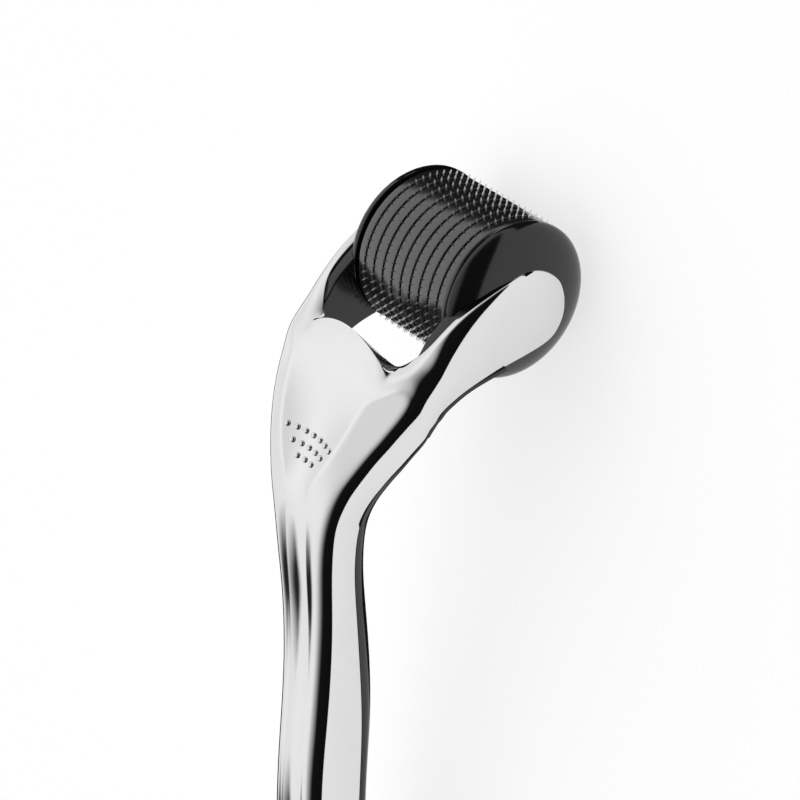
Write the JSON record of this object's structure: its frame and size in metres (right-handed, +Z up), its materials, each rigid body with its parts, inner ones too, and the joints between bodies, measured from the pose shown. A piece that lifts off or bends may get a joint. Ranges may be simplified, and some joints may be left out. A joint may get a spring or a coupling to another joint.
{
  "type": "derma roller",
  "caption": "Hand-held derma roller: slim curved handle with a chrome-plated front and black back, forked neck, and a needle-studded roller turning on a pin.",
  "frame": {"origin": "centre of the bounding box's footprint, on the table plane that the needle tips and the heel stand on", "axes": "+X along the object's length from the handle's butt to the roller, +Y along the roller's axis, +Z up, to the side with the raised dots"},
  "size_m": [0.1438, 0.0298, 0.0343],
  "materials": {
    "chrome_plate": "mirror-bright chrome plate on moulded plastic",
    "gloss_black": "polished black moulding",
    "matt_black": "fine satin black moulding",
    "hub_black": "plain black moulding, hidden inside the roller",
    "needle_steel": "bright stainless steel",
    "pin_steel": "plain bright steel"
  },
  "bodies": {
    "handle": {"front_shell": "chrome_plate", "back_shell": "gloss_black", "axle_pin": "pin_steel"},
    "roller": {"roller_core": "hub_black", "end_ring_left": "matt_black", "end_ring_right": "matt_black", "spacer_ring_1": "matt_black", "spacer_ring_2": "matt_black", "spacer_ring_3": "matt_black", "spacer_ring_4": "matt_black", "spacer_ring_5": "matt_black", "spacer_ring_6": "matt_black", "spacer_ring_7": "matt_black", "spacer_ring_8": "matt_black", "needle_disc_1": "needle_steel", "needle_disc_2": "needle_steel", "needle_disc_3": "needle_steel", "needle_disc_4": "needle_steel", "needle_disc_5": "needle_steel", "needle_disc_6": "needle_steel", "needle_disc_7": "needle_steel", "needle_disc_8": "needle_steel", "needle_disc_9": "needle_steel"}
  },
  "joints": [
    {"name": "roller_spin", "type": "hinge", "parent": "handle", "child": "roller", "pos_m": [0.06042, 0, 0.0115], "axis": [0, 1, 0], "continuous": true}
  ]
}
